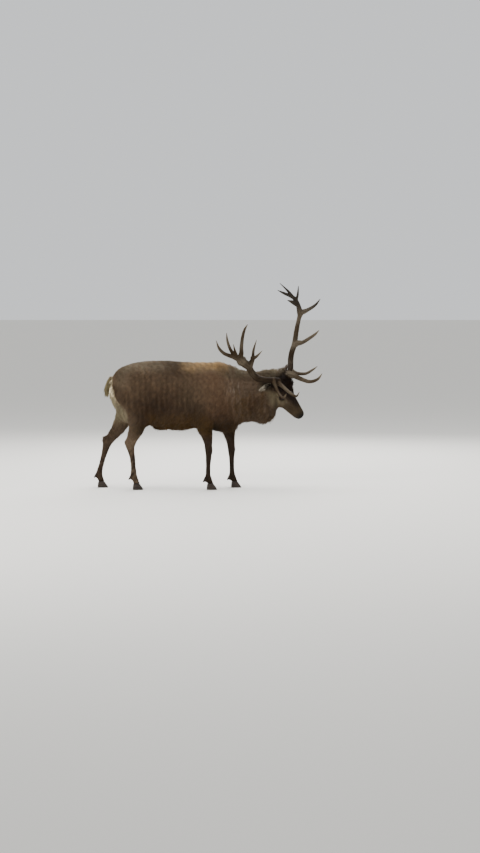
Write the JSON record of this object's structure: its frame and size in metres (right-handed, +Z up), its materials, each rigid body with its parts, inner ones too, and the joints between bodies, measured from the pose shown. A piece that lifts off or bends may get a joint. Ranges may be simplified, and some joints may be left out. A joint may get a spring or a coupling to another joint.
{
  "type": "red deer stag",
  "caption": "Life-size still model of a red deer stag walking, with its neck level, its head bowed and turned, and full branched antlers.",
  "frame": {"origin": "on the floor, under the middle of the whole animal's bounding box, antlers included", "axes": "+X the way the stag walks, +Y its left side, +Z up"},
  "size_m": [2.0654, 0.8284, 1.8557],
  "materials": {
    "coat": "short dense brown coat, lying flat, tan over the withers",
    "mane": "shaggy dark brown mane in hanging locks",
    "face": "very short dark brown to olive grey-brown hair",
    "leg": "short flat dark brown hair",
    "antler": "dry rough bone, dark brown with paler tips",
    "hoof": "dull dark horn",
    "eye": "wet, near black"
  },
  "bodies": {
    "root": {"antler_left_beam": "antler", "antler_left_bez": "antler", "antler_left_brow": "antler", "antler_left_crown": "antler", "antler_left_trez": "antler", "antler_left_upper_beam": "antler", "antler_right_beam": "antler", "antler_right_bez": "antler", "antler_right_brow": "antler", "antler_right_crown": "antler", "antler_right_trez": "antler", "antler_right_upper_beam": "antler", "ear_left": "face", "ear_right": "face", "eye_left": "eye", "eye_right": "eye", "foreleg_left_lower": "leg", "foreleg_left_upper": "coat", "foreleg_right_lower": "leg", "foreleg_right_upper": "coat", "head": "face", "hindleg_left_lower": "leg", "hindleg_left_upper": "coat", "hindleg_right_lower": "leg", "hindleg_right_upper": "coat", "hoof_fore_left_inner": "hoof", "hoof_fore_left_outer": "hoof", "hoof_fore_right_inner": "hoof", "hoof_fore_right_outer": "hoof", "hoof_hind_left_inner": "hoof", "hoof_hind_left_outer": "hoof", "hoof_hind_right_inner": "hoof", "hoof_hind_right_outer": "hoof", "neck": "mane", "tail": "coat", "trunk": "coat"}
  },
  "joints": []
}
